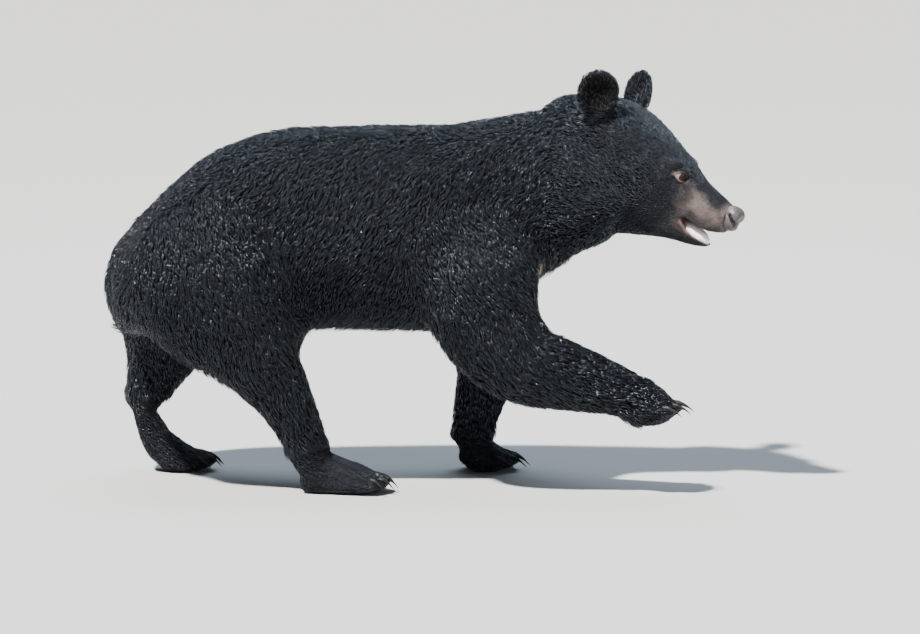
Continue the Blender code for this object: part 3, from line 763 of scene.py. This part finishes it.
# ------------------------------------------------------------------------------ the coat
class Coat:
    """Tufts on the skin: where they root, which way they lie and how far they stand out.

    Neighbours belong to one lock, so what differs has a lock's share and a tuft's own.
    """

    LENGTHS = (0.70, 1.25)  # shares of what the traits say
    WIDTHS = (0.60, 1.25)
    SWIRLS = ((0.22, 0.09, 21), (0.12, 0.03, 22))  # turn in radians, size, seed
    LOCK_SWING, TUFT_SWING = 0.15, 0.09
    LOCK_ROLL, TUFT_ROLL = 0.62, 0.12
    LOCK_RISE, TUFT_RISE = (0.52, 1.02), (0.85, 1.10)  # shares of the coat's depth
    MIDDLE_RISE = (0.62, 0.80)  # shares of the tip's height
    DRAWN = (0.25, 0.62)  # how far tips are drawn together in their lock
    ROOT_DEPTH = 0.0012

    def __init__(self, skin, bare):
        self.rng = np.random.default_rng(SEED)
        mesh = skin.piece.data
        self.points, self.normals = mesh_points(mesh), mesh_normals(mesh)
        self.edges, self.faces = edges_of(mesh), triangles_of(mesh)
        self.traits, self.bare, self.limbs = skin.traits, bare, skin.limbs
        self.lies = self.laid(skin.lies)
        self.tree = BVHTree.FromPolygons(self.points.tolist(), self.faces.tolist())

    def laid(self, lies):
        """The lie of the coat along the skin, evened out and with slow swirls."""
        for _ in range(4):
            lies = lies - self.normals * np.sum(lies * self.normals, axis=1, keepdims=True)
            lies = spread(unit(lies), self.edges, 6)
        lies = unit(lies - self.normals * np.sum(lies * self.normals, axis=1, keepdims=True))
        swirl = sum(turn * smooth_noise(self.points, size, seed) for turn, size, seed in self.SWIRLS)
        return self.swung(lies, self.normals, swirl)

    @staticmethod
    def swung(lies, normals, angle):
        sideways = np.cross(normals, lies)
        return unit(lies * np.cos(angle)[:, None] + sideways * np.sin(angle)[:, None])

    def rooted(self):
        """Roots spread evenly over the skin, as face numbers and shares of its corners."""
        a, b, c = (self.points[self.faces[:, k]] for k in range(3))
        area = np.linalg.norm(np.cross(b - a, c - a), axis=1) / 2
        wanted = self.traits[self.faces, 3].mean(axis=1) * 1e4
        wanted *= 1 - self.bare[self.faces].mean(axis=1)
        total = np.cumsum(area * wanted)
        count = int(total[-1])
        marks = (np.arange(count) + self.rng.uniform(0, 1, count)) * total[-1] / count
        found = np.minimum(np.searchsorted(total, marks), len(self.faces) - 1)
        u, v = self.rng.uniform(0, 1, (2, count))
        flip = u + v > 1
        u[flip], v[flip] = 1 - u[flip], 1 - v[flip]
        shares = np.stack([1 - u - v, u, v], axis=1)
        return found, shares

    def at(self, values, found, shares):
        """The vertices' values at places given as faces and shares of their corners."""
        return np.einsum("nk,nkd->nd", shares, values[self.faces[found]])

    def above(self, spots, heights):
        """Each spot brought to its height over the nearest skin, and the skin's normal there."""
        out, normals = np.empty_like(spots), np.empty_like(spots)
        for row, spot in enumerate(spots.tolist()):
            place, normal, _, _ = self.tree.find_nearest(spot)
            out[row] = place
            normals[row] = normal
        return out + normals * heights[:, None], normals

    def grow(self):
        found, shares = self.rooted()
        roots = self.at(self.points, found, shares)
        normals = unit(self.at(self.normals, found, shares))
        lies = self.at(self.lies, found, shares)
        depth, length, width, _ = self.at(self.traits, found, shares).T
        rng, count = self.rng, len(roots)
        length = length * rng.uniform(*self.LENGTHS, count)
        width = width * rng.uniform(*self.WIDTHS, count)
        lock = self.locks(roots, length)
        locks = lock.max() + 1
        swing = rng.normal(0, self.LOCK_SWING, locks)[lock] + rng.normal(0, self.TUFT_SWING, count)
        lies = self.swung(lies, normals, swing)
        lies = unit(lies - normals * np.sum(lies * normals, axis=1, keepdims=True))
        tips = roots + lies * length[:, None]
        mean = np.stack([np.bincount(lock, weights=tips[:, k]) for k in range(3)], axis=1)
        mean /= np.bincount(lock)[:, None]
        drawn = rng.uniform(*self.DRAWN, count) * step(0.006, 0.014, length)
        tips += (mean[lock] - tips) * drawn[:, None]
        hanging = np.clip(-normals[:, 2], 0, 1) * step(0.012, 0.020, length)
        proud = rng.uniform(*self.LOCK_RISE, locks)[lock] * rng.uniform(*self.TUFT_RISE, count)
        roll = rng.normal(0, self.LOCK_ROLL, locks)[lock] + rng.normal(0, self.TUFT_ROLL, count)
        rise = depth * (proud + hanging * rng.uniform(0.0, 1.00, count))
        tips, _ = self.above(tips, rise)
        middles, _ = self.above((roots + tips) / 2, rise * rng.uniform(*self.MIDDLE_RISE, count))
        homes = unwrapped(roots, self.limbs[self.faces[found, 0]])
        return Tufts(roots - normals * self.ROOT_DEPTH, middles, tips, normals, width, roll, homes)

    def locks(self, roots, length):
        """The lock each tuft belongs to: neighbours, in cells that grow with the hair."""
        size = np.maximum(LOCK_SIZE, length * 0.30)
        shelf = np.round(np.log2(size / LOCK_SIZE) * 2) / 2
        cell = LOCK_SIZE * 2**shelf
        drift = 0.35 * np.stack([smooth_noise(roots, 0.02, 31 + k) for k in range(3)], axis=1)
        keys = np.floor(roots / cell[:, None] + drift).astype(np.int64)
        keys = keys @ np.array(CELL_PRIMES) + (shelf * 2).astype(np.int64) * SHELF_PRIME
        return np.unique(keys, return_inverse=True)[1]


class Tufts:
    """Solid tapered strands: a point in the skin, a ring of three midway, and a tip."""

    CORNERS = 5
    RIDGE = 0.42  # the third corner's height over the other two, in widths
    TONES = (0.55, 1.55)  # shares of the marking's colour
    FACES = ((0, 2, 1), (0, 3, 2), (0, 1, 3), (4, 1, 2), (4, 2, 3), (4, 3, 1))
    PATCH = ((0.5, 0), (0, 0.5), (1, 0.5), (0.5, 0.6), (0.5, 1))

    def __init__(self, roots, middles, tips, normals, width, roll, homes):
        self.columns = (roots, middles, tips, normals, width, roll, homes)
        self.roots, self.middles, self.tips, self.normals = self.columns[:4]
        self.width, self.roll, self.homes = self.columns[4:]

    def part(self, chosen):
        return Tufts(*(values[chosen] for values in self.columns))

    def build(self, name):
        count = len(self.roots)
        ahead = unit(self.tips - self.roots)
        side = unit(np.cross(self.normals, ahead))
        roll = self.roll[:, None]
        side = side * np.cos(roll) + np.cross(ahead, side) * np.sin(roll)
        over = unit(np.cross(ahead, side))
        half = side * self.width[:, None] / 2
        ridge = self.middles + over * self.width[:, None] * self.RIDGE
        rows = (self.roots, self.middles - half, self.middles + half, ridge, self.tips)
        corners = np.stack(rows, axis=1).reshape(-1, 3)
        corners[:, 2] = np.maximum(corners[:, 2], 0)
        firsts = self.CORNERS * np.arange(count)[:, None, None]
        faces = (np.array(self.FACES)[None] + firsts).reshape(-1, 3)
        mesh = bpy.data.meshes.new(name)
        mesh.vertices.add(len(corners))
        mesh.vertices.foreach_set("co", corners.astype(np.float32).ravel())
        mesh.loops.add(faces.size)
        mesh.loops.foreach_set("vertex_index", faces.astype(np.int32).ravel())
        mesh.polygons.add(len(faces))
        mesh.polygons.foreach_set("loop_start", np.arange(0, faces.size, 3, dtype=np.int32))
        mesh.update(calc_edges=True)
        rng = np.random.default_rng(SEED + count)
        tone = markings(self.roots) * rng.uniform(*self.TONES, count)[:, None]
        paint_mesh(mesh, np.clip(np.repeat(tone, self.CORNERS, axis=0), 0, 1))
        self.map_patches(mesh, faces)
        return new_object(name, mesh)

    def map_patches(self, mesh, faces):
        """OFBake: each tuft a small patch at its root's place on the unwrapped skin."""
        spots = (self.homes[:, None, :] + (np.array(self.PATCH)[None] - 0.5) * PATCH_SIZE).reshape(-1, 2)
        layer = mesh.uv_layers.new(name="OFBake")
        layer.data.foreach_set("uv", spots[faces.ravel()].astype(np.float32).ravel())


def round_bones(points, bones):
    """How far along a chain of bones each point is, and its angle round it, both 0 to 1."""
    lengths = np.linalg.norm(np.diff(bones, axis=0), axis=1)
    starts = np.concatenate([[0], np.cumsum(lengths)])
    best = np.full(len(points), np.inf)
    along, angle = np.zeros(len(points)), np.zeros(len(points))
    for row, (start, end) in enumerate(zip(bones[:-1], bones[1:])):
        axis = unit(end - start)
        low = -0.5 if row == 0 else 0
        high = 1.5 if row == len(lengths) - 1 else 1
        share = np.clip((points - start) @ axis / lengths[row], low, high)
        offset = points - start - axis * (share * lengths[row])[:, None]
        away = np.linalg.norm(offset, axis=1)
        side = np.array((0.0, 1.0, 0.0))
        front = unit(np.cross(side, axis))
        nearer = away < best
        best[nearer] = away[nearer]
        along[nearer] = (starts[row] + share * lengths[row])[nearer]
        angle[nearer] = (np.arctan2(offset @ side, offset @ front) / (2 * math.pi) + 0.5)[nearer]
    span = along.max() - along.min() + 1e-9
    return (along - along.min()) / span, angle


def unwrapped(points, limbs):
    """The skin rolled off round its bones: trunk, head and each leg a strip of its own."""
    chest, loins = (node_middle(name) for name in ("chest", "loins"))
    bones = {0: [loins, chest], 1: [from_head((-0.05, 0, 0)), from_head((0.20, 0, 0))]}
    for row, (upper, middle, paw, _) in enumerate(LEG_CHAINS):
        for left, side in enumerate(("right", "left")):
            bones[2 + 2 * row + left] = [node_middle(f"{name}_{side}") for name in (upper, middle, paw)]
    strips = {0: (0, 0, 1, 0.5), 1: (0, 0.5, 1, 0.25)}
    strips.update({2 + leg: (leg / 4, 0.75, 0.25, 0.25) for leg in range(4)})
    home = np.zeros((len(points), 2))
    for limb, (left, low, wide, high) in strips.items():
        here = limbs == limb
        along, angle = round_bones(points[here], np.array(bones[limb]))
        home[here, 0] = left + wide * (STRIP_MARGIN + (1 - 2 * STRIP_MARGIN) * along)
        home[here, 1] = low + high * (STRIP_MARGIN + (1 - 2 * STRIP_MARGIN) * angle)
    return home


# ------------------------------------------------------------------- stage and camera
def make_stage():
    bpy.ops.mesh.primitive_plane_add(size=FLOOR_SIZE, location=(0, 0, 0))
    floor = bpy.context.object
    floor.name = "floor"
    material, _ = new_material("floor", 0.85, Base_Color=FLOOR_TONE)
    floor.data.materials.append(material)


def make_sky():
    """A soft blue sky over a pale band at the horizon that carries the floor's tone on."""
    world = bpy.data.worlds.new("studio")
    world.use_nodes = True
    tree = world.node_tree
    place = tree.nodes.new("ShaderNodeTexCoord")
    height = tree.nodes.new("ShaderNodeSeparateXYZ")
    ramp = tree.nodes.new("ShaderNodeValToRGB")
    low, high = ramp.color_ramp.elements
    low.position, high.position = HORIZON_BAND
    low.color, high.color = HORIZON_TONE, SKY_TONE
    tree.links.new(place.outputs["Generated"], height.inputs[0])
    tree.links.new(height.outputs["Z"], ramp.inputs["Fac"])
    tree.links.new(ramp.outputs["Color"], tree.nodes["Background"].inputs[0])
    tree.nodes["Background"].inputs[1].default_value = WORLD_POWER
    bpy.context.scene.world = world


def add_light(kind, name, place, power, colour, **sizes):
    light = bpy.data.lights.new(name, kind)
    light.energy = power
    light.color = colour
    for key, value in sizes.items():
        setattr(light, key, value)
    lamp = new_object(name, light)
    lamp.location = place
    lamp.rotation_euler = (Vector(LIGHTS_AIM) - Vector(place)).to_track_quat("-Z", "Y").to_euler()


def make_lights():
    """A key that falls evenly on the whole floor, with a soft sky and a faint fill."""
    key, fill, sky = (-2.4, -3.0, 6.4), (3.2, -4.2, 2.6), (0.0, 1.6, 4.6)
    add_light("SUN", "key", key, 17.0, (1.0, 0.98, 0.95), angle=math.radians(3))
    add_light("AREA", "fill", fill, 60, (0.92, 0.96, 1.0), size=2.0)
    add_light("AREA", "sky", sky, 240, (0.72, 0.85, 1.0), size=3.0)


def make_camera():
    aim = HEAD_MIDDLE + np.array(AIM_FROM_HEAD)
    back = np.array((0, -math.cos(CAMERA_RISE), math.sin(CAMERA_RISE)))
    data = bpy.data.cameras.new("camera")
    data.lens = CAMERA_LENS
    data.sensor_width = CAMERA_SENSOR
    data.clip_end = CAMERA_REACH
    camera = new_object("camera", data)
    camera.location = aim + back * CAMERA_DISTANCE
    camera.rotation_euler = Vector(-back).to_track_quat("-Z", "Y").to_euler()
    bpy.context.scene.camera = camera


# ---------------------------------------------------------------------------- the whole
def mouth_shares(local, normals):
    """Which skin is the lower lip and the floor of the mouth, and which its roof."""
    x, y, z = local.T
    facing = (normals @ HEAD_TURNED)[:, 2]
    inside = (x > MOUTH_BACK) & (np.abs(y) < MOUTH_HALF) & (z > MOUTH_LOW) & (z < MOUTH_HIGH)
    return inside & (facing > 0.35), inside & (facing < -0.45) & (z > ROOF_LOW)


def rim_of_lip(local):
    """The lower lip's bare outer edge, widest at the corner of the mouth."""
    x, _, z = local.T
    height = LIP_HEIGHT + 0.0010 * np.clip((0.185 - x) / 0.01, 0, 1.6)
    wide = 0.0035 + 0.0030 * step(0.195, 0.165, x)
    band = step(wide + 0.001, wide - 0.001, np.abs(z - height))
    return band * step(MOUTH_BACK, MOUTH_BACK + 0.008, x)


def soles(points, normals):
    """Which skin is under a foot."""
    return (points[:, 2] < SOLE_HEIGHT) & (normals[:, 2] < -0.5)


def bare_share(points, normals):
    """Where no hair grows: lids, lips, nose, inside the mouth and under the feet."""
    local = to_head(points)
    bare = np.zeros(len(points))
    for side in SIDES:
        inside, away, _, _ = eye_opening(points, side)
        bare = np.maximum(bare, step(*BARE_LID, inside) * (away < 0.0175))
    lip, roof = mouth_shares(local, normals)
    bare[lip | roof] = 1
    pad = np.linalg.norm(local - NOSE_MIDDLE, axis=1)
    bare = np.maximum(bare, step(0.0225, 0.0205, pad))
    bare[soles(points, normals)] = 1
    return bare


def coat_groups(roots):
    """The piece of coat that each tuft goes into."""
    local = to_head(roots)
    left = roots[:, 1] > 0
    group = np.digitize(roots[:, 0], COAT_BANDS) * 2 + left
    on_head = (np.linalg.norm(local - (0.08, 0, -0.02), axis=1) < 0.19) & (local[:, 0] > -0.08)
    group[on_head] = HEAD_GROUP + (local[on_head, 1] > 0)
    for side in SIDES:
        group[np.linalg.norm(roots - before_ear(side, 0.014), axis=1) < 0.031] = EARS_GROUP
    everywhere, ahead = DAMP_SHARES
    damp = step(-0.1, 0.5, smooth_noise(roots, 0.035, 17))
    damp *= everywhere + ahead * step(0.02, 0.14, roots[:, 0])
    drawn = np.random.default_rng(SEED + 3).random(len(group))
    group[(drawn < damp) & (group != EARS_GROUP)] = WET_GROUP
    return group


def make_coat(skin, bare):
    tufts = Coat(skin, bare).grow()
    sleek = coat_material("coat", 0.23, 0.54)
    dull = coat_material("coat_in_ears", 0.60, 0.12)
    wet = coat_material("coat_wet", 0.31, 1.0)
    group = coat_groups(tufts.roots)
    for index in np.unique(group):
        material = {EARS_GROUP: dull, WET_GROUP: wet}.get(index, sleek)
        chosen = np.flatnonzero(group == index)
        for part, share in enumerate(np.array_split(chosen, math.ceil(len(chosen) / PIECE_TUFTS))):
            piece = tufts.part(share).build(f"coat_{index}_{part}")
            finished(piece, material, "coat", smooth=False)


def skin_colours(points, normals):
    """The coat's markings, and over them the bare lips, mouth, lids and soles."""
    colours = markings(points)
    local = to_head(points)
    lip, roof = mouth_shares(local, normals)
    on_head = (np.linalg.norm(local - SKULL, axis=1) < 0.20) & (local[:, 2] < -0.030)
    rim = (rim_of_lip(local) * on_head)[:, None]
    colours += rim * (np.array(LIP_RIM) - colours)
    colours[lip] = MOUTH_FLOOR
    colours[roof] = MOUTH_ROOF
    for side in SIDES:
        inside, away, across, up = eye_opening(points, side)
        lid = (step(*BARE_LID, inside) * step(0.0180, 0.0165, away))[:, None]
        behind = 0.30 - 1.3 * up - 0.9 * across
        below = -0.20 - 1.5 * up + 0.4 * across
        pink = np.clip(np.maximum(behind, below), 0, 1)[:, None]
        tone = np.array(LID_DARK) + pink * (np.array(LID) - np.array(LID_DARK))
        colours += lid * (tone - colours)
    colours[soles(points, normals)] = SOLE
    return np.clip(colours, 0, 1)


def make_skin():
    """The skin with its lids, and for each of its vertices the share that is bare."""
    skin = Skin()
    mesh = skin.piece.data
    before = mesh_points(mesh)
    for side in SIDES:
        refine(mesh, eye_frame(side)[0], (0.026, 0.022, 0.018))
    points = mesh_points(mesh)
    for side in SIDES:
        points = shape_lids(points, side)
    points[:, 2] = np.maximum(points[:, 2], 0)
    set_points(mesh, points)
    skin.traits, skin.lies = carried(before, skin.traits, points), carried(before, skin.lies, points)
    skin.limbs = carried(before, skin.limbs[:, None], points)[:, 0].astype(int)
    normals = mesh_normals(mesh)
    paint_mesh(mesh, skin_colours(points, normals))
    finished(skin.piece, skin_material(), "coat", *FLESH)
    return skin, bare_share(points, normals)


def carried(before, values, points):
    """Values at new points, from the nearest of the old ones."""
    if len(points) == len(before):
        return values
    tree = KDTree(len(before))
    for index, spot in enumerate(before.tolist()):
        tree.insert(spot, index)
    tree.balance()
    out = np.empty((len(points), values.shape[1]))
    out[: len(before)] = values
    for row in range(len(before), len(points)):
        out[row] = values[tree.find(points[row].tolist())[1]]
    return out


skin, bare = make_skin()
make_coat(skin, bare)
eye_look = eye_material()
for side in SIDES:
    make_eye(side, eye_look)
make_nose()
make_tongue()
make_claws()
make_stage()
make_sky()
make_lights()
make_camera()
